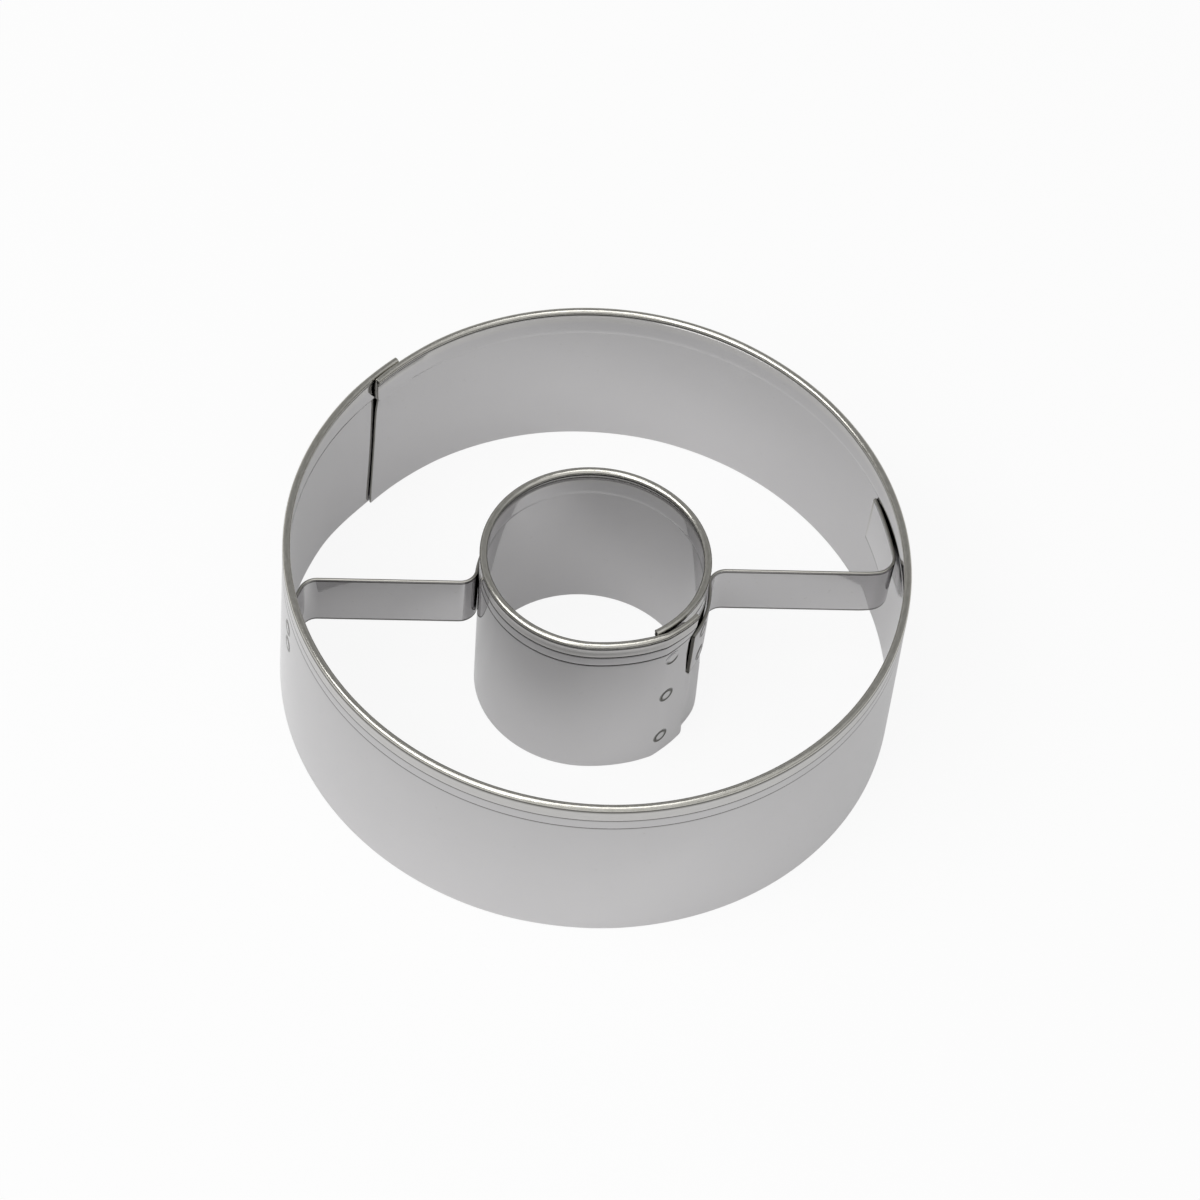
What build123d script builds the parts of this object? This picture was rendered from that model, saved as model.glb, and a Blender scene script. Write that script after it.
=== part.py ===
from build123d import *
from dataclasses import dataclass
import math
import os

# Round ring cutter: a tall outer band and a small inner band, held by two flat straps.
# Millimetres, +Z up. The origin is at the centre of the outer band's cutting edge,
# and the straps run along X. Angles are in degrees, counterclockwise from +X.
# A plan path is a list of steps: (radius, degrees) for an arc, where a negative radius
# turns right, and (straight, length) for a straight.

straight = None

# Sheet
band_sheet = 0.3
strap_sheet = 0.4

# Outer band, from the outer layer's end round to the inner layer's end
outer_height = 24.85
outer_centre = (0.0, 0.0)
outer_start_angle = 130.5
outer_start_radius = 37.334
outer_start_turn = 1.24
outer_arcs = [(38.66, 26.9), (37.21, 140.4), (36.29, 49.8), (38.04, 63.9), (35.64, 75.0)]
outer_lap_arcs = [(35.64, 11.4)]
outer_edge_out = 0.85
outer_shoulder_out = 0.5

# Inner band, from the inner layer's end round to the outer layer's end
inner_height = 25.2
inner_centre = (-0.383, -1.705)
inner_start_angle = 301.5
inner_start_radius = 12.949
inner_start_turn = -0.87
inner_lap_arcs = [(13.92, 24.0)]
inner_arcs = [(12.45, 70.0), (13.65, 90.0), (12.82, 90.0), (13.47, 54.8)]
inner_ramp_arcs = [(21.33, 21.7), (2.5, 17.9), (19.76, 14.2)]
inner_edge_out = 0.17
inner_shoulder_out = 0.38

# Rolled hem along the top of both bands, seen in section
bead_width = 1.05
crease_1_drop = 2.3
crease_2_drop = 3.85
crease_1_out = 0.03
hem_close_drop = 2.2
hem_leg_drop = 4.5
least_hollow = 0.1

# The same hem pressed flatter where a band's inner layer lies under its outer one
lap_bead_width = 0.62
lap_bead_drop = 0.12
lap_wall_in = 0.1075

# Straps
strap_top = 19.2
strap_height = 7.8
right_strap_middle = (25.0, 1.11)
left_strap_middle = (-24.0, -1.58)
right_strap_outer_end = [(straight, 7.48), (12.0, 8.0), (2.5, 88.0), (48.0, 10.4)]
right_strap_inner_end = [(straight, 8.42), (2.4, 79.0), (-40.0, 5.0), (-20.0, 12.5), (20.0, 2.4)]
left_strap_outer_end = [(straight, 8.85), (2.8, 68.0), (straight, 1.2), (6.0, 34.6), (36.9, 7.5)]
left_strap_inner_end = [(straight, 7.67), (2.1, 82.0), (-14.05, 28.0)]

# Spot welds
weld_radius = 1.0
hole_overrun = 0.3
outer_seam_angle = 134.0
outer_seam_heights = [2.4, 10.4, 18.0]
inner_seam_angle = 309.2
inner_seam_heights = [3.65, 12.4, 19.4]
left_outer_weld_angle = 192.8
right_outer_weld_angle = 17.5
left_inner_weld_angle = 154.0
right_inner_weld_angle = -21.0
tab_weld_heights = [12.9, 17.6]

# Points to a step where a plan path is followed to place a weld
path_steps = 24


@dataclass
class Leg:
    """One step of a plan path; its start and end are (x, y, heading in radians)."""

    start: tuple
    end: tuple
    centre: tuple
    radius: float
    size: float


@dataclass
class Band:
    """A hemmed strip bent round a plan path; runs lists (bead width, steps) from end to end."""

    centre: tuple
    start: tuple
    height: float
    edge_out: float
    shoulder_out: float
    runs: list

    def path(self):
        return path_points(self.start, [step for bead, steps in self.runs for step in steps])

    def wall_out(self, z):
        """How far the wall's outer face stands outside the hem's centre line at a height."""
        share = min(z / (self.height - crease_2_drop), 1.0)
        return self.edge_out + (self.shoulder_out - self.edge_out) * share


# Plan paths


def ahead_of(heading):
    return math.cos(heading), math.sin(heading)


def left_of(heading):
    return -math.sin(heading), math.cos(heading)


def polar_start(centre, angle, radius, turn):
    """A start at a polar place, heading round the centre, turned in by a little."""
    a = math.radians(angle)
    x = centre[0] + radius * math.cos(a)
    y = centre[1] + radius * math.sin(a)
    return x, y, a + math.pi / 2 + math.radians(turn)


def legs(start, steps):
    """The steps of a plan path, one leg after the other."""
    for radius, size in steps:
        x, y, heading = start
        if radius is straight:
            dx, dy = ahead_of(heading)
            centre = None
            end = (x + size * dx, y + size * dy, heading)
        else:
            lx, ly = left_of(heading)
            centre = (x + radius * lx, y + radius * ly)
            end_heading = heading + math.radians(math.copysign(size, radius))
            nx, ny = left_of(end_heading)
            end = (centre[0] - radius * nx, centre[1] - radius * ny, end_heading)
        yield Leg(start, end, centre, radius, size)
        start = end


def leg_point(leg, share, side=0.0):
    """A point part of the way along a leg, moved to the left by side."""
    x, y, heading = leg.start
    end_x, end_y, end_heading = leg.end
    h = heading + (end_heading - heading) * share
    lx, ly = left_of(h)
    if leg.radius is straight:
        return x + (end_x - x) * share + side * lx, y + (end_y - y) * share + side * ly
    reach = leg.radius - side
    return leg.centre[0] - reach * lx, leg.centre[1] - reach * ly


def path_points(start, steps):
    points = [start[:2]]
    for leg in legs(start, steps):
        points += [leg_point(leg, i / path_steps) for i in range(1, path_steps + 1)]
    return points


def radii_at(points, centre, angle):
    """Distances from a centre at which a path crosses one polar angle."""
    found = []
    for (x0, y0), (x1, y1) in zip(points, points[1:]):
        a0 = math.degrees(math.atan2(y0 - centre[1], x0 - centre[0])) - angle
        a1 = math.degrees(math.atan2(y1 - centre[1], x1 - centre[0])) - angle
        a0 = (a0 + 180) % 360 - 180
        a1 = (a1 + 180) % 360 - 180
        if a0 * a1 <= 0 and a0 != a1 and abs(a0 - a1) < 180:
            share = a0 / (a0 - a1)
            r0 = math.hypot(x0 - centre[0], y0 - centre[1])
            r1 = math.hypot(x1 - centre[0], y1 - centre[1])
            found.append(r0 + (r1 - r0) * share)
    return sorted(found)


# Bands


def band_section(band, bead):
    """Wall, creased shoulder and rolled hem, with the hem's hollow, in the (out, up) plane."""
    flattened = bead < bead_width
    wall_in = lap_wall_in if flattened else 0.0
    crown_height = band.height - (lap_bead_drop if flattened else 0.0)
    r = bead / 2
    rim = crown_height - r
    crease_1 = band.height - crease_1_drop
    crease_2 = band.height - crease_2_drop
    close = band.height - hem_close_drop
    leg_end = band.height - hem_leg_drop

    def out(z):
        return band.wall_out(z) - wall_in

    outline = Polyline(
        (-r, rim),
        (out(close) - 2 * band_sheet, close),
        (out(leg_end) - 2 * band_sheet, leg_end),
        (out(leg_end) - band_sheet, leg_end),
        (out(0) - band_sheet, 0),
        (out(0), 0),
        (out(crease_2), crease_2),
        (out(crease_1) + crease_1_out, crease_1),
        (r, rim),
    )
    roll = ThreePointArc((r, rim), (0, crown_height), (-r, rim))
    section = make_face(Curve() + [outline, roll])
    inside = r - band_sheet
    if inside > least_hollow:
        sides = Polyline((-inside, rim), (out(close) - band_sheet, close), (inside, rim))
        crown = ThreePointArc((inside, rim), (0, rim + inside), (-inside, rim))
        section -= make_face(Curve() + [sides, crown])
    return section


def turned_piece(section, leg):
    x, y, heading = leg.start
    dx, dy = ahead_of(heading)
    lx, ly = left_of(heading)
    plane = Plane(origin=(x, y, 0), x_dir=(-lx, -ly, 0), z_dir=(-dx, -dy, 0))
    return revolve(plane * section, Axis((leg.centre[0], leg.centre[1], 0), (0, 0, 1)), leg.size)


def build_band(band):
    pieces = []
    start = band.start
    for bead, steps in band.runs:
        section = band_section(band, bead)
        for leg in legs(start, steps):
            pieces.append(turned_piece(section, leg))
            start = leg.end
    return pieces[0].fuse(*pieces[1:])


# Straps


def strap_half(start, steps):
    """Half a strap, from its middle to the end of its tab."""
    half = strap_sheet / 2
    path = list(legs(start, steps))
    edges = []
    for leg in path:
        for side in (half, -half):
            first = leg_point(leg, 0.0, side)
            last = leg_point(leg, 1.0, side)
            if leg.radius is straight:
                edges.append(Line(first, last))
            else:
                edges.append(ThreePointArc(first, leg_point(leg, 0.5, side), last))
    edges.append(Line(leg_point(path[0], 0.0, half), leg_point(path[0], 0.0, -half)))
    edges.append(Line(leg_point(path[-1], 1.0, half), leg_point(path[-1], 1.0, -half)))
    outline = make_face(Curve() + edges)
    return Pos(0, 0, strap_top - strap_height) * extrude(outline, strap_height)


# Welds: a list of (plane at the weld's middle, length)


def nugget(centre, angle, z, near, far):
    """A round weld through the sheets between two distances from a band's centre."""
    a = math.radians(angle)
    middle = (near + far) / 2
    x = centre[0] + middle * math.cos(a)
    y = centre[1] + middle * math.sin(a)
    return Plane(origin=(x, y, z), z_dir=(math.cos(a), math.sin(a), 0)), far - near


def seam_welds(band, angle, heights):
    """Welds through the two layers of a band where its ends overlap."""
    near, far = radii_at(band.path(), band.centre, angle)
    welds = []
    for z in heights:
        out = band.wall_out(z)
        welds.append(nugget(band.centre, angle, z, near + out - band_sheet, far + out))
    return welds


def tab_welds(band, angle, tab, inside):
    """Welds through a strap's tab and the band's wall; inside says where the tab lies."""
    tab_middle = radii_at(tab, band.centre, angle)[0]
    walls = radii_at(band.path(), band.centre, angle)
    welds = []
    for z in tab_weld_heights:
        if inside:
            near = tab_middle - strap_sheet / 2
            far = walls[-1] + band.wall_out(z)
        else:
            near = walls[0] + band.wall_out(z) - band_sheet
            far = tab_middle + strap_sheet / 2
        welds.append(nugget(band.centre, angle, z, near, far))
    return welds


def drilled(sheet, welds):
    """A sheet with its weld holes, each a little longer than the weld so that it goes right through."""
    holes = [plane * Cylinder(weld_radius, length + 2 * hole_overrun) for plane, length in welds]
    return sheet.cut(*holes)


def write(name, shape):
    export_step(shape, f"parts/{name}.step")


def write_welds(name, welds):
    nuggets = [plane * Cylinder(weld_radius, length) for plane, length in welds]
    write(name, Compound(children=nuggets))


def main():
    os.makedirs("parts", exist_ok=True)
    outer = Band(
        centre=outer_centre,
        start=polar_start(outer_centre, outer_start_angle, outer_start_radius, outer_start_turn),
        height=outer_height,
        edge_out=outer_edge_out,
        shoulder_out=outer_shoulder_out,
        runs=[(bead_width, outer_arcs), (lap_bead_width, outer_lap_arcs)],
    )
    inner = Band(
        centre=inner_centre,
        start=polar_start(inner_centre, inner_start_angle, inner_start_radius, inner_start_turn),
        height=inner_height,
        edge_out=inner_edge_out,
        shoulder_out=inner_shoulder_out,
        runs=[(lap_bead_width, inner_lap_arcs), (bead_width, inner_arcs + inner_ramp_arcs)],
    )
    left_going_left = (*left_strap_middle, math.pi)
    left_going_right = (*left_strap_middle, 0.0)
    right_going_left = (*right_strap_middle, math.pi)
    right_going_right = (*right_strap_middle, 0.0)

    outer_seam = seam_welds(outer, outer_seam_angle, outer_seam_heights)
    inner_seam = seam_welds(inner, inner_seam_angle, inner_seam_heights)
    left_outer_tab = path_points(left_going_left, left_strap_outer_end)
    left_inner_tab = path_points(left_going_right, left_strap_inner_end)
    right_inner_tab = path_points(right_going_left, right_strap_inner_end)
    right_outer_tab = path_points(right_going_right, right_strap_outer_end)
    left_outer = tab_welds(outer, left_outer_weld_angle, left_outer_tab, inside=True)
    left_inner = tab_welds(inner, left_inner_weld_angle, left_inner_tab, inside=False)
    right_inner = tab_welds(inner, right_inner_weld_angle, right_inner_tab, inside=False)
    right_outer = tab_welds(outer, right_outer_weld_angle, right_outer_tab, inside=True)

    left_strap = strap_half(left_going_left, left_strap_outer_end)
    left_strap += strap_half(left_going_right, left_strap_inner_end)
    right_strap = strap_half(right_going_left, right_strap_inner_end)
    right_strap += strap_half(right_going_right, right_strap_outer_end)

    write("outer_band", drilled(build_band(outer), outer_seam + left_outer + right_outer))
    write("inner_band", drilled(build_band(inner), inner_seam + left_inner + right_inner))
    write("left_strap", drilled(left_strap, left_outer + left_inner))
    write("right_strap", drilled(right_strap, right_outer + right_inner))
    write_welds("outer_seam_welds", outer_seam)
    write_welds("inner_seam_welds", inner_seam)
    write_welds("left_strap_outer_welds", left_outer)
    write_welds("left_strap_inner_welds", left_inner)
    write_welds("right_strap_outer_welds", right_outer)
    write_welds("right_strap_inner_welds", right_inner)


main()
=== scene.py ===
"""The look of a round ring cutter: two hemmed steel bands joined by two bent straps."""

import math
from dataclasses import dataclass

import bmesh
import bpy
import numpy as np
from mathutils import Matrix, Vector

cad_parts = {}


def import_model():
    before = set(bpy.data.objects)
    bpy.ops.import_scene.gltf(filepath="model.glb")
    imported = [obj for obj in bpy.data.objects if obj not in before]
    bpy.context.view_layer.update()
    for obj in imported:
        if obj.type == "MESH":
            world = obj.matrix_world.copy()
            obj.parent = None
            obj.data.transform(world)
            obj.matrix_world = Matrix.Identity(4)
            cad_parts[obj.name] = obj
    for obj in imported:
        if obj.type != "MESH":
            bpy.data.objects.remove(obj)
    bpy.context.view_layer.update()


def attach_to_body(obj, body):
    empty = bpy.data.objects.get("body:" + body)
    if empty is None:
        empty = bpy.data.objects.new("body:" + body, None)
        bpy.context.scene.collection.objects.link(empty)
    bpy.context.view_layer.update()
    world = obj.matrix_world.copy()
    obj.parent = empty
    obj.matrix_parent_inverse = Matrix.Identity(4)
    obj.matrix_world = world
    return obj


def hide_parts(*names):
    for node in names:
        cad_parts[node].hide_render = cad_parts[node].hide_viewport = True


MM = 0.001
CAD_BODY = "root"

# Sheet and hem of both bands, in millimetres; a drop is measured down from the top of the rim
BAND_SHEET = 0.3
BEAD_WIDTH = 1.05
LEG_START_DROP = 1.3
LEG_DROP = 4.5
LEG_GAP = 0.012
WAIST_RISE = 0.62
WAIST_DIP = 0.03
CREASE_DROPS = (2.3, 3.85)
CREASE_DEPTH = 0.055
CREASE_WIDTH = 0.08
FOOT_DROP = 0.56
INNER_FOOT_DROP = 1.12
FOOT_DEPTH = 0.13
FOOT_WIDTH = 0.13
STRIP_HEM_SHARE = 0.25
STRIP_HEM_FADE = 0.1
BEAD_HEM_FADE = 0.2
# Painted shade: how dark the creases and the bead's feet are painted
CREASE_SHADE = 0.85
FOOT_SHADE_POWER = 0.7

# How closely the strips are divided, and how their cut ends and edges are shaped
PATH_STEP = 0.05
EDGE_ROWS = (0.0, 0.12, 0.35, 0.8)
WALL_ROWS = 10
WALL_ROWS_FROM = 1.6
WALL_ROWS_DROP = LEG_DROP + 0.4
CREASE_ROWS = (-1.6, -0.8, -0.4, 0, 0.4, 0.8, 1.6)
CREASE_MARGIN = 0.3
WAIST_ROWS = 14
ROLL_ROWS = 17
BACK_ROWS = 20
LEG_ROWS = 6
EDGE_POINTS = 6
EDGE_BULGE = 0.6
END_THINNING = 0.6
END_CHAMFER = 0.05
END_CUT_REACH = 4.0
WAVE_DEPTH = 0.035
SHARP_ANGLE = 35
UV_PER_MM = 0.01
OTHER_FACE_SHIFT = 40.0

# Straps
STRAIGHT = None
STRAP_SHEET = 0.4
STRAP_TOP = 19.2
STRAP_HEIGHT = 7.8
STRAP_EDGE_RADIUS = 0.19
STRAP_STEP = 0.22
CUT_EDGE_DEPTH = 0.17
CUT_EDGE_FADE = 0.12
CUT_END_REACH = 0.3
BAR_SHARP_ANGLE = 40
# Painted shade lines under the strap's top edge and over its bottom edge
SHADE_LINE_DROP = 0.3
SHADE_LINE_WIDTH = 0.13

# Weld marks
RING_RADIUS = 1.15
RING_LIP = 0.08
RING_REACH = 1.2
TOP_RING = 19.5
ANGLE_REACH = 0.3


@dataclass
class Band:
    """One strip of sheet bent round a plan path, with a rolled hem along its top.

    The strip starts at an (angle, radius, turn off the circle) and follows arcs of (radius, degrees).
    Beads lists (distance, width). Each pull is a list of (distance, depth) times a list of
    (height, share). End cut lists (height, how far the far end falls short).
    """

    name: str
    centre: tuple
    height: float
    edge_out: float
    shoulder_out: float
    start: tuple
    arcs: list
    beads: list
    pulls: list
    end_cut: list
    step: float


@dataclass
class Strap:
    """A flat bar with a bent tab at each end, in steps of (radius, degrees) or (STRAIGHT, length)."""

    name: str
    middle: tuple
    left_steps: list
    right_steps: list
    lean: float


@dataclass
class Welds:
    """A group of weld marks at (angle, height) places on a band, and on a strap inside it if named."""

    name: str
    band: Band
    places: list
    strap: str = ""


@dataclass
class Steel:
    """One finish of the steel: how pale and rough it is, and what shows on it, painted groove shade and
    painted shade lines included.
    """

    name: str
    base: float
    rough: float
    cut_tone: float = 0.6
    hemmed: bool = False
    has_shade_and_stain: bool = False
    painted_shade_lines: tuple = ()


OUTER = Band(
    name="outer_band",
    centre=(0.0, 0.0),
    height=24.85,
    edge_out=0.85,
    shoulder_out=0.5,
    start=(130.5, 37.334, 1.24),
    arcs=[(38.66, 26.9), (37.21, 140.4), (36.29, 49.8), (38.04, 63.9), (35.64, 86.4)],
    beads=[(0.0, 0.86), (4.2, 0.86), (7.5, 1.05), (226.5, 1.05), (230.5, 0.84), (260.0, 0.84)],
    pulls=[
        ([(0, -0.42), (5, -0.42), (14, 0)], [(0, 1), (20, 0)]),
        ([(222, 0), (233, 0.9), (237, 1)], [(0, -0.02), (17.6, 0.34), (19.6, 0.26), (20.7, -0.04)]),
    ],
    end_cut=[(0, -0.15), (12, 0.5), (20, 0.75), (20.9, 0.15), (22, 0.0)],
    step=0.5,
)
INNER = Band(
    name="inner_band",
    centre=(-0.383, -1.705),
    height=25.2,
    edge_out=0.17,
    shoulder_out=0.38,
    start=(301.5, 12.949, -0.87),
    arcs=[
        (13.92, 24.0), (12.45, 70.0), (13.65, 90.0), (12.82, 90.0),
        (13.47, 54.8), (21.33, 21.7), (2.5, 17.9), (19.76, 14.2),
    ],
    beads=[
        (0.0, 0.84), (5.5, 0.86), (8.0, 1.05), (81.5, 1.05),
        (84.2, 0.76), (89.0, 0.66), (100.0, 0.66),
    ],
    pulls=[
        ([(2.5, 0), (6.5, 0.48), (9.5, 0.72), (12, 0.6), (18, 0)], [(0, 1), (4, 0.85), (12, 0)]),
        ([(84, 0), (89, 0.15), (100, 0.15)], [(0, 1), (6, 0)]),
        ([(83, 0), (89, 0.42)], [(20.6, 0), (23.6, 1)]),
        ([(2.5, 0), (5.2, 0.36), (6.5, 0.36), (7.7, 0)], [(6, 0), (8.5, 1), (11, 1), (12.2, 0)]),
    ],
    end_cut=[
        (0, 0.45), (0.4, 0.2), (1.2, 0.25), (11.5, 0.9),
        (19.2, 1.7), (20.4, 1.5), (22.4, 0.95), (25.2, 0.6),
    ],
    step=0.28,
)
LEFT_STRAP = Strap(
    name="left_strap",
    middle=(-24.0, -1.58),
    left_steps=[(STRAIGHT, 9.33), (2.1, 68.0), (STRAIGHT, 1.67), (6.0, 34.6), (36.9, 7.5)],
    right_steps=[(STRAIGHT, 7.67), (2.1, 82.0), (-14.05, 28.0)],
    lean=-1.0,
)
RIGHT_STRAP = Strap(
    name="right_strap",
    middle=(25.0, 1.11),
    left_steps=[(STRAIGHT, 9.18), (2.2, 91.3), (-13.62, 17.5), (-11.69, 15.5), (20.0, 2.5)],
    right_steps=[(STRAIGHT, 7.48), (12.0, 8.0), (2.5, 88.0), (48.0, 10.4)],
    lean=1.0,
)
WELDS = [
    Welds("outer_seam", OUTER, [(134.0, 2.4), (134.0, 10.4), (134.0, 18.0)]),
    Welds("inner_seam", INNER, [(-50.6, 3.6), (-50.6, 12.3), (-50.3, 19.9)]),
    Welds("left_strap_outer", OUTER, [(193.2, 15.4), (192.9, 18.3)]),
    Welds("right_strap_outer", OUTER, [(17.5, 12.9), (17.5, 17.6)]),
    Welds("left_strap_inner", INNER, [(154.0, 12.9), (154.0, 17.6)], "left_strap"),
    Welds("right_strap_inner", INNER, [(-21.0, 12.9), (-21.0, 17.6)], "right_strap"),
]
BAND_STEEL = Steel("band_steel", base=0.53, rough=0.08, hemmed=True, has_shade_and_stain=True)
STRAP_STEEL = Steel(
    "strap_steel", base=0.6, rough=0.07, cut_tone=0.75,
    painted_shade_lines=(STRAP_TOP - SHADE_LINE_DROP, STRAP_TOP - STRAP_HEIGHT + SHADE_LINE_DROP),
)
WELD_STEEL = Steel("weld_steel", base=0.57, rough=0.14, has_shade_and_stain=True)


# Plan paths


def path_table(start, steps):
    """Rows of (distance, x, y, heading) along a path of straights and arcs."""
    x, y, heading = start
    rows = [(0.0, x, y, heading)]
    total = 0.0
    for radius, size in steps:
        length = size if radius is STRAIGHT else abs(radius) * math.radians(size)
        turn = 0.0 if radius is STRAIGHT else 1.0 / radius
        count = max(2, round(length / PATH_STEP))
        for i in range(1, count + 1):
            along = length * i / count
            if turn:
                h = heading + along * turn
                px = x + (math.sin(h) - math.sin(heading)) / turn
                py = y - (math.cos(h) - math.cos(heading)) / turn
            else:
                h = heading
                px = x + along * math.cos(h)
                py = y + along * math.sin(h)
            rows.append((total + along, px, py, h))
        _, x, y, heading = rows[-1]
        total += length
    return np.array(rows)


def band_path(band):
    angle, radius, turn = band.start
    a = math.radians(angle)
    x = band.centre[0] + radius * math.cos(a)
    y = band.centre[1] + radius * math.sin(a)
    return path_table((x, y, a + math.pi / 2 + math.radians(turn)), band.arcs)


def on_path(table, along, out, up):
    """Points at distances along a path, moved outwards and up."""
    x = np.interp(along, table[:, 0], table[:, 1])
    y = np.interp(along, table[:, 0], table[:, 2])
    h = np.interp(along, table[:, 0], table[:, 3])
    return np.stack([x + out * np.sin(h), y - out * np.cos(h), up + 0 * x], axis=-1)


# Band sections


def wall_out(band, z):
    """How far the wall's outer face stands outside the hem's centre line."""
    share = np.clip(z / (band.height - CREASE_DROPS[1]), 0, 1)
    return band.edge_out + (band.shoulder_out - band.edge_out) * share


def wall_levels(band):
    """Heights of the wall's rows, close together at its edge and its creases."""
    rows = [*EDGE_ROWS, *np.linspace(WALL_ROWS_FROM, band.height - WALL_ROWS_DROP, WALL_ROWS)]
    for drop in CREASE_DROPS:
        z = band.height - drop
        rows += [z - CREASE_MARGIN, z + CREASE_MARGIN]
        rows += [z + k * CREASE_WIDTH for k in CREASE_ROWS]
    rows.append(band.height - CREASE_DROPS[0] + WAIST_RISE)
    return np.array(sorted(rows))


def fold_line(band, bead):
    """The middle of the sheet in section, from cutting edge to leg's end, and its number of wall rows."""
    half = BAND_SHEET / 2
    shift = (BEAD_WIDTH - bead) / 4
    radius = bead / 2 - half
    rim = band.height - bead / 2
    levels = wall_levels(band)
    wall = np.stack([wall_out(band, levels) - shift - half, levels], axis=1)
    waist_z = np.linspace(levels[-1], rim, WAIST_ROWS)[1:-1]
    share = (waist_z - levels[-1]) / (rim - levels[-1])
    waist = wall[-1, 0] + (radius - wall[-1, 0]) * share**2 - WAIST_DIP * np.sin(math.pi * share)
    turns = np.linspace(0, math.pi, ROLL_ROWS)
    roll = np.stack([radius * np.cos(turns), rim + radius * np.sin(turns)], axis=1)
    leg_top = band.height - LEG_START_DROP
    leg_out = wall_out(band, leg_top) - shift - 3 * half - LEG_GAP
    share = np.linspace(0, 1, BACK_ROWS)[1:-1]
    ease = share * share * (3 - 2 * share)
    back = np.stack([roll[-1, 0] + (leg_out - roll[-1, 0]) * ease, rim + (leg_top - rim) * share], axis=1)
    leg_z = np.linspace(leg_top, band.height - LEG_DROP, LEG_ROWS)
    leg = np.stack([leg_out + 0 * leg_z, leg_z], axis=1)
    return np.vstack([wall, np.stack([waist, waist_z], axis=1), roll, back, leg]), len(levels)


def dip(z, middle, width, depth):
    """A smooth groove across heights z."""
    return depth * np.exp(-(((z - middle) / width) ** 2))


def grooves(band, line, wall_rows):
    """How deep the sheet's face is pressed in: at the creases, and at both feet of the bead."""
    z = line[:, 1]
    depth = dip(z, band.height - FOOT_DROP, FOOT_WIDTH, FOOT_DEPTH)
    for drop in CREASE_DROPS:
        depth[:wall_rows] += dip(z[:wall_rows], band.height - drop, CREASE_WIDTH, CREASE_DEPTH)
    inside = (np.arange(len(line)) >= wall_rows) & (line[:, 0] < 0)
    depth[inside] += dip(z[inside], band.height - INNER_FOOT_DROP, FOOT_WIDTH, FOOT_DEPTH)
    return depth


def round_edge(point, along, side, half):
    """Points round a cut edge, from one face of the sheet to the other."""
    angles = np.linspace(0, math.pi, EDGE_POINTS)[1:-1]
    bulge = EDGE_BULGE * half
    return [point + side * half * math.cos(a) + along * bulge * (math.sin(a) - 1) for a in angles]


def sheet_loop(band, line, wall_rows, thickness):
    """The closed outline of the folded sheet, with its developed length and its painted shade in the
    creases and at the bead's feet.
    """
    ahead = np.gradient(line, axis=0)
    ahead /= np.linalg.norm(ahead, axis=1)[:, None]
    side = np.stack([ahead[:, 1], -ahead[:, 0]], axis=1)
    depth = grooves(band, line, wall_rows)
    half = thickness / 2
    front = line + side * (half - depth)[:, None]
    back = line - side * half
    for face in (front, back):
        face[0] += ahead[0] * EDGE_BULGE * half
        face[-1] -= ahead[-1] * EDGE_BULGE * half
    leg_edge = round_edge(line[-1], ahead[-1], side[-1], half)
    wall_edge = round_edge(line[0], -ahead[0], -side[0], half)
    loop = np.vstack([front, leg_edge, back[::-1], wall_edge])
    # Painted shade: the creases and the bead's feet are darkened by how deep they are pressed in, standing
    # for the shade in these grooves
    dirt = np.zeros(len(loop))
    dirt[:len(line)] = (depth / depth.max()) ** FOOT_SHADE_POWER
    dirt[:wall_rows] = np.minimum(depth[:wall_rows] / CREASE_DEPTH, 1) * CREASE_SHADE
    developed = np.concatenate([[0], np.cumsum(np.linalg.norm(np.diff(line, axis=0), axis=1))])
    edge = np.ones(len(leg_edge))
    v = [developed, developed[-1] * edge, developed[::-1] + OTHER_FACE_SHIFT, OTHER_FACE_SHIFT * edge]
    return loop, np.concatenate(v), dirt


def hem_share(band, z):
    """0 on the wall, a little on the strip above the first crease, 1 on the bead."""
    strip = np.clip((z - (band.height - CREASE_DROPS[0])) / STRIP_HEM_FADE, 0, 1)
    bead = np.clip((z - (band.height - FOOT_DROP)) / BEAD_HEM_FADE, 0, 1)
    return strip * STRIP_HEM_SHARE + bead * (1 - STRIP_HEM_SHARE)


# Bands


def stations(length, step):
    """Distances along a strip, with one more close to each cut end."""
    inner = np.linspace(END_CHAMFER, length - END_CHAMFER, max(4, round(length / step)))
    return np.concatenate([[0.0], inner, [length]])


def cut_back(band, along, length, z):
    """How far each point near a strip's far end is drawn back from the square cut."""
    heights, backs = zip(*band.end_cut)
    near = np.clip(1 - (length - along) / END_CUT_REACH, 0, 1)
    return np.interp(z, heights, backs) * near


def eased(x, steps):
    """A value read off listed (place, value) steps, flat at each of them."""
    at, values = np.array(steps, float).T
    i = np.clip(np.searchsorted(at, x) - 1, 0, len(at) - 2)
    f = np.clip((x - at[i]) / (at[i + 1] - at[i]), 0, 1)
    return values[i] + (values[i + 1] - values[i]) * f * f * (3 - 2 * f)


def pulled(band, along, z):
    """How far the wall is pushed in or out of its even cone, near the lap and its welds."""
    return sum(eased(along, by_distance) * eased(z, by_height) for by_distance, by_height in band.pulls)


def waviness(band, along, z):
    """The small unevenness of a hand-bent strip, always inwards."""
    low = np.clip(1 - z / (band.height - LEG_DROP), 0, 1)
    a = 0.5 + 0.5 * np.sin(along * 0.37 + 1.3 + 0.05 * z)
    b = 0.5 + 0.5 * np.sin(along * 0.113 + 4.1 - 0.11 * z)
    return -WAVE_DEPTH * (a * b) * (0.25 + 0.75 * low)


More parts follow.
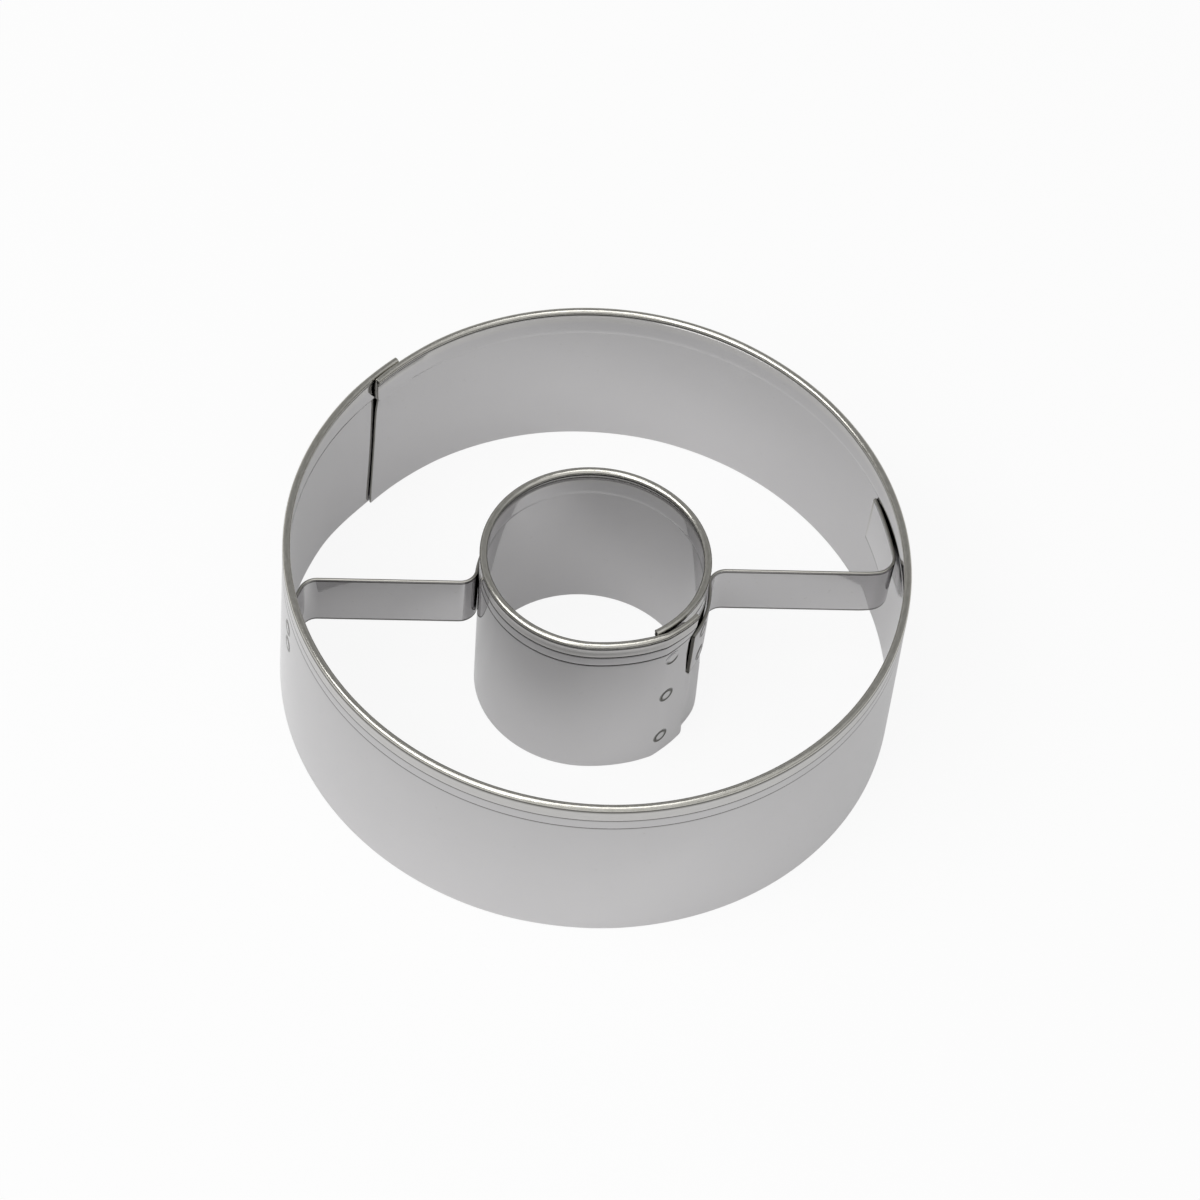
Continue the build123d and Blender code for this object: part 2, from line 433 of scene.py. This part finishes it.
def band_sections(band, along):
    """The outline, developed length and painted groove shade at each station, and how many rows one face
    has.
    """
    bead_at, bead_widths = zip(*band.beads)
    sections = []
    for i, s in enumerate(along):
        line, wall_rows = fold_line(band, float(np.interp(s, bead_at, bead_widths)))
        thickness = BAND_SHEET * (END_THINNING if i in (0, len(along) - 1) else 1.0)
        sections.append(sheet_loop(band, line, wall_rows, thickness))
    loops, developed, dirt = (np.array(part) for part in zip(*sections))
    return loops, developed, dirt, len(line)


def strip_faces(count, size, rows):
    """Faces of a strip swept through a count of outlines of one size, closed at both ends."""
    edge = (size - 2 * rows) // 2

    def at(i, j):
        return i * size + j % size

    def across(i, j):
        return at(i, 2 * rows + edge - 1 - j)

    faces = [
        (at(i, j), at(i + 1, j), at(i + 1, j + 1), at(i, j + 1))
        for i in range(count - 1) for j in range(size)
    ]
    for i in (0, count - 1):
        ends = [(at(i, j), at(i, j + 1), across(i, j + 1), across(i, j)) for j in range(rows - 1)]
        ends.append(tuple(at(i, rows - 1 + k) for k in range(edge + 2)))
        ends.append(tuple(at(i, size - edge - 1 + k) for k in range(edge + 2)))
        faces += ends if i == 0 else [face[::-1] for face in ends]
    return faces


def link(name, data):
    """A new object in the scene, at the origin."""
    obj = bpy.data.objects.new(name, data)
    bpy.context.scene.collection.objects.link(obj)
    return obj


def store(mesh, name, values):
    """A number for each of the mesh's points."""
    attribute = mesh.attributes.new(name, "FLOAT", "POINT")
    attribute.data.foreach_set("value", np.asarray(values, np.float32))


def build_band(band, material):
    table = band_path(band)
    length = table[-1, 0]
    along = stations(length, band.step)
    loops, developed, dirt, rows = band_sections(band, along)
    count, size = loops.shape[:2]
    s = np.repeat(along[:, None], size, axis=1)
    z = loops[:, :, 1]
    s = s - cut_back(band, s, length, z)
    out = loops[:, :, 0] + waviness(band, s, z) + pulled(band, s, z)
    points = on_path(table, s, out, z).reshape(-1, 3)
    edge = (size - 2 * rows) // 2
    cut = np.zeros((count, size))
    cut[:, rows:rows + edge] = 1
    cut[:, size - edge:] = 1
    cut[[0, -1], :] = 1

    mesh = bpy.data.meshes.new(band.name + "_sheet")
    mesh.from_pydata((points * MM).tolist(), [], strip_faces(count, size, rows))
    mesh.update()
    corners = np.zeros(len(mesh.loops), int)
    mesh.loops.foreach_get("vertex_index", corners)
    uv = np.stack([s.ravel(), developed.ravel()], axis=1)
    mesh.uv_layers.new(name="strip").data.foreach_set("uv", (uv[corners] * UV_PER_MM).ravel())
    store(mesh, "hem", hem_share(band, z.ravel()))
    store(mesh, "cut", cut.ravel())
    store(mesh, "dirt", dirt.ravel())
    mesh.shade_smooth()
    mesh.set_sharp_from_angle(angle=math.radians(SHARP_ANGLE))
    mesh.materials.append(material)
    return link(mesh.name, mesh)


# Shader nodes


class Socket:
    """A number from a node; sums on it add Math nodes to the same material."""

    def __init__(self, finish, source):
        self.finish = finish
        self.source = source

    def _math(self, operation, *values):
        return self.finish.add("ShaderNodeMath", {"operation": operation}, dict(enumerate(values)))

    def __add__(self, other):
        return self._math("ADD", self, other)

    def __sub__(self, other):
        return self._math("SUBTRACT", self, other)

    def __rsub__(self, other):
        return self._math("SUBTRACT", other, self)

    def __mul__(self, other):
        return self._math("MULTIPLY", self, other)

    def __truediv__(self, other):
        return self._math("DIVIDE", self, other)

    def __rtruediv__(self, other):
        return self._math("DIVIDE", other, self)

    __radd__ = __add__
    __rmul__ = __mul__

    def clamped(self):
        return self.finish.add("ShaderNodeClamp", {}, {"Value": self})

    def between(self, low, high):
        """0 at low, 1 at high, smooth between."""
        limits = {"Value": self, "From Min": low, "From Max": high}
        return self.finish.add("ShaderNodeMapRange", {"interpolation_type": "SMOOTHSTEP"}, limits)


class Finish:
    """A material or world under construction."""

    def __init__(self, name, owner=None):
        self.owner = owner or bpy.data.materials.new(name)
        self.owner.use_nodes = True
        self.tree = self.owner.node_tree
        self.tree.nodes.clear()

    def add(self, kind, settings=None, inputs=None, output=0):
        """One node: its settings first, then the values or links of its sockets."""
        node = self.tree.nodes.new(kind)
        for key, value in (settings or {}).items():
            setattr(node, key, value)
        for key, value in (inputs or {}).items():
            if isinstance(value, Socket):
                self.tree.links.new(value.source, node.inputs[key])
            else:
                node.inputs[key].default_value = value
        return Socket(self, node.outputs[output]) if node.outputs else node

    def outputs(self, kind, names, inputs=None):
        """Several outputs of one node."""
        node = self.add(kind, {}, inputs).source.node
        return [Socket(self, node.outputs[name]) for name in names]

    def up(self, vector):
        """The z of a vector."""
        return self.add("ShaderNodeSeparateXYZ", {}, {"Vector": vector}, output=2)

    def mix(self, share, first, second):
        """A colour mixed from two."""
        return self.add("ShaderNodeMix", {"data_type": "RGBA"}, {0: share, 6: first, 7: second}, output=2)

    def attribute(self, name):
        return self.add("ShaderNodeAttribute", {"attribute_name": name}, {}, output=2)

    def on_object(self, scale):
        source = self.add("ShaderNodeTexCoord", {}, {}, output=3)
        return self.add("ShaderNodeMapping", {}, {"Vector": source, "Scale": scale})

    def on_strip(self, scale):
        source = self.add("ShaderNodeUVMap", {"uv_map": "strip"})
        return self.add("ShaderNodeMapping", {}, {"Vector": source, "Scale": scale})

    def noise(self, vector, scale, detail, roughness):
        values = {"Vector": vector, "Scale": scale, "Detail": detail, "Roughness": roughness}
        return self.add("ShaderNodeTexNoise", {"noise_dimensions": "3D"}, values)


# Materials

# Noises, as (scale, detail, roughness)
CLOUDS = (95.0, 3.0, 0.55)
PATCHES = (38.0, 1.0, 0.4)
SPECKS = (1700.0, 1.0, 0.5)
GRAIN = (1.0, 2.0, 0.6)
WEAR = (1.0, 3.0, 0.7)
PAPER = (60.0, 2.0, 0.5)

# How much finer a pattern is in each direction
UNSCALED = (1.0, 1.0, 1.0)
STRIP_GRAIN = (6.0, 260.0, 1.0)
BAR_GRAIN = (60.0, 60.0, 2600.0)
STRIP_WEAR = (90.0, 520.0, 1.0)

# Shares and tones of what shows on the steel
CLOUD_TONES = (0.82, 1.18)
SPECK_EDGE = (0.72, 0.8)
RIM_TONES = (1.0, 1.5)
CLOUD_TONE = 0.16
PATCH_TONE = 0.14
GRAIN_TONE = 0.05
SPECK_SHARE = 0.2
# Painted light: how much paler the lower walls are painted
LOW_WALL_LIGHT_SHARE = 0.34
# Painted shade in the band's grooves, and the weld marks' own stain
SHADE_AND_STAIN_SHARE = 0.95
SHADE_AND_STAIN_TONE = 0.08
CUT_SHARE = 0.9
# Painted shade lines along the strap edges
SHADE_LINE_SHARE = 0.95
SHADE_LINE_TONE = 0.1

# How uneven the shine and the surface are
CLOUD_ROUGHNESS = 0.05
GRAIN_ROUGHNESS = 0.03
CUT_ROUGHNESS = 0.26
WEAR_ROUGHNESS = 0.16
BEAD_ROUGHNESS = 0.05
GRAIN_RELIEF = 0.5
CLOUD_RELIEF = 2.0
WEAR_RELIEF = 3.0
BUMP_STRENGTH = 0.12
BUMP_DISTANCE = 0.00004


def grey(value, warm=0.0):
    """A steel colour, more olive as warm goes up."""
    return (value * (1.004 + 0.5 * warm), value * (0.992 + 0.35 * warm), value * (1 - warm), 1.0)


def worn_rim(finish, look, colour, rough, height):
    """The bead's own olive colour, rubbed bright in places, over what the wall has."""
    bead = finish.attribute("hem")
    worn = finish.noise(finish.on_strip(STRIP_WEAR), *WEAR)
    bright = (worn * 1.6 - 0.3).clamped()
    dull, rubbed = RIM_TONES
    rim = finish.mix(bright, grey(look.base * dull, 0.09), grey(look.base * rubbed, 0.05))
    colour = finish.mix(bead, colour, rim)
    rough = rough + bead * (worn * WEAR_ROUGHNESS + BEAD_ROUGHNESS)
    height = height + bead * (worn - 0.5) * WEAR_RELIEF
    return colour, rough, height


def steel(look):
    """Rolled bright steel: cloudy patches, fine rolling grain, specks, darker cut edges; painted light on
    the lower walls, painted shade in the grooves and under the strap edges.
    """
    finish = Finish(look.name)
    base = look.base
    place = finish.on_object(UNSCALED)
    clouds = finish.noise(place, *CLOUDS) - 0.5
    patches = finish.noise(place, *PATCHES) - 0.5
    specks = finish.noise(place, *SPECKS).between(*SPECK_EDGE)
    grain_place = finish.on_strip(STRIP_GRAIN) if look.hemmed else finish.on_object(BAR_GRAIN)
    grain = finish.noise(grain_place, *GRAIN) - 0.5
    cut = finish.attribute("cut")

    tone = clouds * CLOUD_TONE + patches * PATCH_TONE + grain * GRAIN_TONE + 0.5
    colour = finish.mix(tone.clamped(), *(grey(base * level) for level in CLOUD_TONES))
    colour = finish.mix(specks * SPECK_SHARE, colour, grey(base * 0.6, 0.1))
    rough = clouds * CLOUD_ROUGHNESS + grain * GRAIN_ROUGHNESS + cut * CUT_ROUGHNESS + look.rough
    height = grain * GRAIN_RELIEF + clouds * CLOUD_RELIEF
    if look.hemmed:
        # Painted light: the walls are painted paler towards the bottom, for the lit floor they reflect
        # there
        low = 1 - (finish.up(place) / (INNER.height * MM)).clamped()
        colour = finish.mix(low * LOW_WALL_LIGHT_SHARE, colour, grey(base * 1.6))
        colour, rough, height = worn_rim(finish, look, colour, rough, height)
    # Painted shade in the band's creases and at the bead's feet, and the weld marks' own stain
    if look.has_shade_and_stain:
        dirt = finish.attribute("dirt") * SHADE_AND_STAIN_SHARE
        colour = finish.mix(dirt, colour, grey(base * SHADE_AND_STAIN_TONE, 0.2))
    colour = finish.mix(cut * CUT_SHARE, colour, grey(base * look.cut_tone, 0.08))
    # Painted shade: dark lines just under the strap's top edge and just over its bottom edge
    for line in look.painted_shade_lines:
        off = (finish.up(place) - line * MM) / (SHADE_LINE_WIDTH * MM)
        share = (1 - off * off).clamped() * SHADE_LINE_SHARE
        colour = finish.mix(share, colour, grey(base * SHADE_LINE_TONE, 0.1))

    relief = {"Strength": BUMP_STRENGTH, "Distance": BUMP_DISTANCE, "Height": height}
    bump = finish.add("ShaderNodeBump", {}, relief)
    values = {"Base Color": colour, "Metallic": 1.0, "Roughness": rough, "Normal": bump}
    surface = finish.add("ShaderNodeBsdfPrincipled", {}, values)
    finish.add("ShaderNodeOutputMaterial", {}, {"Surface": surface})
    return finish.owner


# Geometry Nodes


class Tree:
    """A node tree for a modifier, with named inputs; the last of them is its steel."""

    def __init__(self, name, inputs):
        self.group = bpy.data.node_groups.new(name, "GeometryNodeTree")
        for way in ("INPUT", "OUTPUT"):
            self.group.interface.new_socket("Geometry", in_out=way, socket_type="NodeSocketGeometry")
        for label, kind in {**inputs, "Steel": "Material"}.items():
            kind = "NodeSocket" + kind
            self.group.interface.new_socket(label, in_out="INPUT", socket_type=kind)
        self.start = self.group.nodes.new("NodeGroupInput")
        self.end = self.group.nodes.new("NodeGroupOutput")

    def input(self, label):
        return self.start.outputs[label]

    def node(self, kind, settings=None, inputs=None):
        node = self.group.nodes.new(kind)
        for key, value in (settings or {}).items():
            setattr(node, key, value)
        for key, value in (inputs or {}).items():
            if isinstance(value, bpy.types.NodeSocket):
                self.group.links.new(value, node.inputs[key])
            else:
                node.inputs[key].default_value = value
        return node

    def add(self, kind, settings=None, inputs=None, output=0):
        return self.node(kind, settings, inputs).outputs[output]

    def math(self, operation, *values):
        return self.add("ShaderNodeMath", {"operation": operation}, dict(enumerate(values)))

    def between_0_and_1(self, value):
        return self.math("MINIMUM", self.math("MAXIMUM", value, 0.0), 1.0)

    def vector(self, operation, *values):
        return self.add("ShaderNodeVectorMath", {"operation": operation}, dict(enumerate(values)))

    def scaled(self, vector, scale):
        return self.add("ShaderNodeVectorMath", {"operation": "SCALE"}, {0: vector, "Scale": scale})

    def curve(self, value, points):
        """A value read off straight lines between points."""
        node = self.node("ShaderNodeFloatCurve", {}, {"Value": value})
        line = node.mapping.curves[0]
        line.points[0].location, line.points[1].location = points[0], points[-1]
        for point in points[1:-1]:
            line.points.new(*point)
        for point in line.points:
            point.handle_type = "VECTOR"
        node.mapping.update()
        return node.outputs[0]

    def read(self, name, kind="FLOAT"):
        """A value stored on the points."""
        return self.add("GeometryNodeInputNamedAttribute", {"data_type": kind}, {"Name": name})

    def keep(self, geometry, name, value):
        """Stores a number on the points."""
        settings = {"data_type": "FLOAT", "domain": "POINT"}
        inputs = {"Geometry": geometry, "Name": name, "Value": value}
        return self.add("GeometryNodeStoreNamedAttribute", settings, inputs)

    def realise(self, geometry):
        return self.add("GeometryNodeRealizeInstances", {}, {0: geometry})

    def finish(self, geometry):
        """Ends the tree in real geometry of the chosen steel."""
        inputs = {"Geometry": self.realise(geometry), "Material": self.input("Steel")}
        done = self.add("GeometryNodeSetMaterial", {}, inputs)
        self.group.links.new(done, self.end.inputs[0])
        return self.group


def baked(name, guide, tree, values):
    """A plain mesh object made by a tree on a guide mesh."""
    obj = link("guide", guide)
    modifier = obj.modifiers.new("shape", "NODES")
    modifier.node_group = tree
    for item in tree.interface.items_tree:
        if item.in_out == "INPUT" and item.name in values:
            modifier[item.identifier] = values[item.name]
    bpy.context.view_layer.update()
    depsgraph = bpy.context.evaluated_depsgraph_get()
    mesh = bpy.data.meshes.new_from_object(obj.evaluated_get(depsgraph))
    obj.modifiers.clear()
    bpy.data.objects.remove(obj)
    return link(name, mesh)


# Straps


def strap_tree():
    """Sweeps a round-edged flat bar along the guide's edges."""
    tree = Tree("bent_bar", {"Sheet": "Float", "Height": "Float", "Edge radius": "Float", "Lean": "Float"})
    line = tree.add("GeometryNodeMeshToCurve", {}, {0: tree.input("Geometry")})
    line = tree.add("GeometryNodeSetCurveNormal", {"mode": "Z_UP"}, {0: line})
    line = tree.add("GeometryNodeSetCurveTilt", {}, {0: line, "Tilt": tree.input("Lean")})
    size = {"Width": tree.input("Sheet"), "Height": tree.input("Height")}
    profile = tree.add("GeometryNodeCurvePrimitiveQuadrilateral", {"mode": "RECTANGLE"}, size)
    corner = {"Curve": profile, "Count": 4, "Radius": tree.input("Edge radius")}
    profile = tree.add("GeometryNodeFilletCurve", {"mode": "POLY"}, corner)
    sweep = {"Curve": line, "Profile Curve": profile, "Fill Caps": True}
    return tree.finish(tree.add("GeometryNodeCurveToMesh", {}, sweep))


def strap_line(strap):
    """Points along the middle of a strap, from its left tab's end to its right tab's end."""
    left = path_table((*strap.middle, math.pi), strap.left_steps)
    right = path_table((*strap.middle, 0.0), strap.right_steps)
    along = np.concatenate([-left[:0:-1, 0], right[:, 0]])
    x = np.concatenate([left[:0:-1, 1], right[:, 1]])
    y = np.concatenate([left[:0:-1, 2], right[:, 2]])
    even = np.linspace(along[0], along[-1], round((along[-1] - along[0]) / STRAP_STEP))
    z = np.full(len(even), STRAP_TOP - STRAP_HEIGHT / 2)
    return np.stack([np.interp(even, along, x), np.interp(even, along, y), z], axis=1)


def strap_cut(points, line):
    """1 on the sheared edges and ends of a strap, 0 on its flat faces."""
    from_middle = np.abs(points[:, 2] - line[0, 2])
    cut = np.clip((from_middle - STRAP_HEIGHT / 2 + CUT_EDGE_DEPTH) / CUT_EDGE_FADE, 0, 1)
    for end in (line[0], line[-1]):
        cut[np.hypot(points[:, 0] - end[0], points[:, 1] - end[1]) < CUT_END_REACH] = 1
    return cut


def build_strap(strap, tree, material):
    line = strap_line(strap)
    guide = bpy.data.meshes.new("path")
    guide.from_pydata((line * MM).tolist(), [(i, i + 1) for i in range(len(line) - 1)], [])
    made = baked(strap.name + "_bar", guide, tree, {
        "Sheet": STRAP_SHEET * MM,
        "Height": STRAP_HEIGHT * MM,
        "Edge radius": STRAP_EDGE_RADIUS * MM,
        "Lean": math.radians(strap.lean),
        "Steel": material,
    })
    points = np.zeros(len(made.data.vertices) * 3)
    made.data.vertices.foreach_get("co", points)
    store(made.data, "cut", strap_cut(points.reshape(-1, 3) / MM, line))
    made.data.shade_smooth()
    made.data.set_sharp_from_angle(angle=math.radians(BAR_SHARP_ANGLE))
    return made


# Weld marks

RING_SPREAD = [(0.0, 0.0), (0.8, 1.0), (1.0, 0.0)]
RING_RISE = [
    (0.0, 0.62), (0.4, 0.66), (0.49, 0.78), (0.56, 0.55), (0.6, 0.53), (0.64, 0.58),
    (0.71, 0.8), (0.8, 0.35), (0.85, 0.0), (1.0, 0.0),
]
RING_PLACE = 0.585
RING_DIRT = 1.5
RING_DIRT_FADE = 6.5
MERGE_DISTANCE = 1e-7


def ring_disc(tree):
    """A disc with a raised ring, rolled out of a grid; it carries its own rise and the weld stain of its
    ring.
    """
    grid = tree.add(
        "GeometryNodeMeshGrid", {}, {"Size X": 1.0, "Size Y": 1.0, "Vertices X": 41, "Vertices Y": 33})
    place = tree.node("ShaderNodeSeparateXYZ", {}, {0: tree.add("GeometryNodeInputPosition")}).outputs
    turn = tree.math("MULTIPLY", tree.math("ADD", place[0], 0.5), 2 * math.pi)
    share = tree.math("ADD", place[1], 0.5)
    reach = tree.math("MULTIPLY", tree.curve(share, RING_SPREAD), tree.input("Radius"))
    rise = tree.math("SUBTRACT", tree.curve(share, RING_RISE), 0.5)
    rise = tree.math("MULTIPLY", tree.math("MULTIPLY", rise, tree.input("Lip")), 2.0)
    near_ring = tree.math("ABSOLUTE", tree.math("SUBTRACT", share, RING_PLACE))
    dirt = tree.math("SUBTRACT", RING_DIRT, tree.math("MULTIPLY", near_ring, RING_DIRT_FADE))
    disc = tree.keep(grid, "rise", rise)
    disc = tree.keep(disc, "dirt", tree.between_0_and_1(dirt))
    polar = tree.add("ShaderNodeCombineXYZ", {}, {
        0: tree.math("MULTIPLY", reach, tree.math("COSINE", turn)),
        1: tree.math("MULTIPLY", reach, tree.math("SINE", turn)),
        2: rise,
    })
    disc = tree.add("GeometryNodeSetPosition", {}, {0: disc, "Position": polar})
    return tree.add("GeometryNodeMergeByDistance", {}, {0: disc, "Distance": MERGE_DISTANCE})


def laid_on_sheets(tree, marks, facing):
    """The marks moved along their facing until they lie on the sheet or the strap."""
    sheets = tree.node("GeometryNodeJoinGeometry")
    for label in ("Sheet", "Strap"):
        part = tree.node("GeometryNodeObjectInfo", {}, {"Object": tree.input(label)})
        tree.group.links.new(part.outputs["Geometry"], sheets.inputs[0])
    here = tree.add("GeometryNodeInputPosition")
    lift = tree.scaled(facing, tree.read("rise"))
    above = tree.scaled(facing, tree.input("Reach"))
    hit = tree.node("GeometryNodeRaycast", {}, {
        "Target Geometry": sheets.outputs[0],
        "Source Position": tree.vector("ADD", tree.vector("SUBTRACT", here, lift), above),
        "Ray Direction": tree.scaled(facing, -1.0),
        "Ray Length": tree.math("MULTIPLY", tree.input("Reach"), 2.0),
    })
    return tree.add("GeometryNodeSetPosition", {}, {
        0: marks,
        "Selection": hit.outputs["Is Hit"],
        "Position": tree.vector("ADD", hit.outputs["Hit Position"], lift),
    })


def mark_tree():
    """A ring-shaped weld mark at each guide point, laid on the sheets beneath it."""
    objects = {"Sheet": "Object", "Strap": "Object"}
    tree = Tree("weld_marks", {**objects, "Radius": "Float", "Lip": "Float", "Reach": "Float"})
    facing = tree.read("facing", "FLOAT_VECTOR")
    marks = tree.add("GeometryNodeInstanceOnPoints", {}, {
        "Points": tree.input("Geometry"),
        "Instance": ring_disc(tree),
        "Rotation": tree.add("FunctionNodeAlignRotationToVector", {"axis": "Z"}, {"Vector": facing}),
    })
    marks = laid_on_sheets(tree, tree.realise(marks), facing)
    up = tree.node("ShaderNodeSeparateXYZ", {}, {0: tree.add("GeometryNodeInputPosition")}).outputs[2]
    below = tree.math("DIVIDE", tree.math("SUBTRACT", tree.read("middle"), up), tree.input("Radius"))
    lower_side = tree.between_0_and_1(tree.math("MULTIPLY", below, 2.0))
    kept = tree.math("MAXIMUM", lower_side, tree.read("whole"))
    marks = tree.keep(marks, "dirt", tree.math("MULTIPLY", tree.read("dirt"), kept))
    return tree.finish(marks)


def face_point(band, angle, z):
    """The band's outermost face at a polar angle and height, and the way it faces."""
    table = band_path(band)
    x, y = table[:, 1] - band.centre[0], table[:, 2] - band.centre[1]
    off = (np.degrees(np.arctan2(y, x)) - angle + 180) % 360 - 180
    near = np.where(np.abs(off) < ANGLE_REACH)[0]
    along, px, py, heading = table[near[np.argmax(np.hypot(x, y)[near])]]
    out = wall_out(band, z) + pulled(band, np.array([along]), np.array([z]))[0]
    facing = np.array([math.sin(heading), -math.cos(heading), 0.0])
    return np.array([px, py, z]) + facing * out, facing


def build_marks(welds, tree, sheet, strap, material):
    """A group of weld marks; only the lower half of the topmost seam ring is dark."""
    points, facings = zip(*(face_point(welds.band, angle, z) for angle, z in welds.places))
    heights = np.array([z for _, z in welds.places])
    guide = bpy.data.meshes.new("places")
    guide.from_pydata([tuple(point * MM) for point in points], [], [])
    facing = guide.attributes.new("facing", "FLOAT_VECTOR", "POINT")
    facing.data.foreach_set("vector", np.concatenate(facings))
    store(guide, "middle", heights * MM)
    store(guide, "whole", heights < TOP_RING)
    made = baked(welds.name + "_marks", guide, tree, {
        "Sheet": sheet,
        "Strap": strap,
        "Radius": RING_RADIUS * MM,
        "Lip": RING_LIP * MM,
        "Reach": RING_REACH * MM,
        "Steel": material,
    })
    shape = bmesh.new()
    shape.from_mesh(made.data)
    bmesh.ops.recalc_face_normals(shape, faces=shape.faces)
    shape.to_mesh(made.data)
    shape.free()
    made.data.shade_smooth()
    return made


# Studio

SKY = {"over_front": 0.7, "over_back": 0.25, "front": 0.7, "back": 0.35, "left": 0.35, "right": 0.3}
LAMPS = {
    "overhead": ((0.0, -0.02, 0.75), 0.4, 0.75),
    "left_key": ((-0.46, -0.03, 0.58), 0.3, 0.85),
    "left_front_key": ((-0.33, -0.33, 0.58), 0.4, 1.15),
}
OVERHEAD_EDGE = (0.3, 0.8)
HORIZON_EDGE = (-0.02, 0.1)
FRONT_EDGE = (0.35, -0.35)
FLOOR_HALF = 4.0
FLOOR_SHADES = (0.9, 0.93)
FLOOR_SEEN_WHITE = 0.9
FLOOR_GLOW = 0.18
LENS = 109.83
SENSOR = 36.0
CAMERA_PLACE = (-0.029324, -0.264424, 0.369225)
CAMERA_FORWARD = (0.0679, 0.5957, -0.8003)
CAMERA_RIGHT = (0.9936, -0.1132, 0.0)
CAMERA_ROLL = 6.342


def floor_material():
    """Matt white paper, with some of its white added where a camera or a reflection sees it."""
    finish = Finish("white_table")
    paper = finish.noise(finish.on_object(UNSCALED), *PAPER)
    dark, pale = ((shade, shade, shade, 1.0) for shade in FLOOR_SHADES)
    matt = finish.add("ShaderNodeBsdfDiffuse", {}, {"Color": finish.mix(paper, dark, pale)})
    white = finish.add("ShaderNodeEmission", {}, {"Strength": 1.0})
    rays = ("Is Camera Ray", "Is Glossy Ray", "Is Transmission Ray")
    seen, mirrored, through = finish.outputs("ShaderNodeLightPath", rays)
    share = (seen * FLOOR_SEEN_WHITE + mirrored * FLOOR_GLOW + through * FLOOR_GLOW).clamped()
    surface = finish.add("ShaderNodeMixShader", {}, {0: share, 1: matt, 2: white})
    finish.add("ShaderNodeOutputMaterial", {}, {"Surface": surface})
    return finish.owner


def studio_world():
    """A dim room with white cards round the object, each as bright as SKY says."""
    world = bpy.data.worlds.new("studio")
    bpy.context.scene.world = world
    finish = Finish("studio", world)
    direction = finish.add("ShaderNodeTexCoord")
    x, y, z = finish.outputs("ShaderNodeSeparateXYZ", "XYZ", {"Vector": direction})
    level = 1 / (x * x + y * y + 0.0001)
    high = z.between(*OVERHEAD_EDGE)
    low = (1 - high) * z.between(*HORIZON_EDGE)
    near = y.between(*FRONT_EDGE)
    light = high * near * SKY["over_front"] + high * (1 - near) * SKY["over_back"]
    for side, toward in (("front", y * -1), ("back", y), ("left", x * -1), ("right", x)):
        facing = toward.clamped()
        light = light + low * (facing * facing * level) * SKY[side]
    white = finish.add("ShaderNodeBackground", {}, {"Color": (1.0, 1.0, 1.0, 1.0), "Strength": light})
    finish.add("ShaderNodeOutputWorld", {}, {"Surface": white})


def area_light(name, place, size, power):
    """A square lamp that points at the origin."""
    lamp = bpy.data.lights.new(name, "AREA")
    lamp.shape = "RECTANGLE"
    lamp.size = lamp.size_y = size
    lamp.energy = power
    obj = link(name, lamp)
    obj.location = place
    obj.rotation_euler = (-Vector(place)).to_track_quat("-Z", "Y").to_euler()


def camera():
    data = bpy.data.cameras.new("camera")
    data.sensor_fit = "HORIZONTAL"
    data.sensor_width = SENSOR
    data.lens = LENS
    data.clip_start = 0.01
    forward = Vector(CAMERA_FORWARD).normalized()
    right = Vector(CAMERA_RIGHT).normalized()
    up = right.cross(forward)
    roll = math.radians(CAMERA_ROLL)
    x = math.cos(roll) * right + math.sin(roll) * up
    y = math.cos(roll) * up - math.sin(roll) * right
    turn = Matrix((x, y, -forward)).transposed()
    obj = link("camera", data)
    obj.matrix_world = Matrix.Translation(CAMERA_PLACE) @ turn.to_4x4()
    bpy.context.scene.camera = obj


def floor():
    mesh = bpy.data.meshes.new("table")
    corners = [(x * FLOOR_HALF, y * FLOOR_HALF, 0) for x, y in ((-1, -1), (1, -1), (1, 1), (-1, 1))]
    mesh.from_pydata(corners, [], [(0, 1, 2, 3)])
    mesh.materials.append(floor_material())
    link("table", mesh)


def attach(obj, node):
    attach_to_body(obj, CAD_BODY)
    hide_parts(node)


def main():
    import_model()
    band_steel, strap_steel, weld_steel = (steel(look) for look in (BAND_STEEL, STRAP_STEEL, WELD_STEEL))
    pieces = {}
    for band in (OUTER, INNER):
        pieces[band.name] = build_band(band, band_steel)
        attach(pieces[band.name], band.name)
    bars = strap_tree()
    for strap in (LEFT_STRAP, RIGHT_STRAP):
        pieces[strap.name] = build_strap(strap, bars, strap_steel)
        attach(pieces[strap.name], strap.name)
    rings = mark_tree()
    for welds in WELDS:
        sheet = pieces[welds.band.name]
        marks = build_marks(welds, rings, sheet, pieces.get(welds.strap, sheet), weld_steel)
        attach(marks, welds.name + "_welds")
    floor()
    studio_world()
    for name, lamp in LAMPS.items():
        area_light(name, *lamp)
    camera()
    bpy.context.scene.view_settings.view_transform = "Standard"


main()
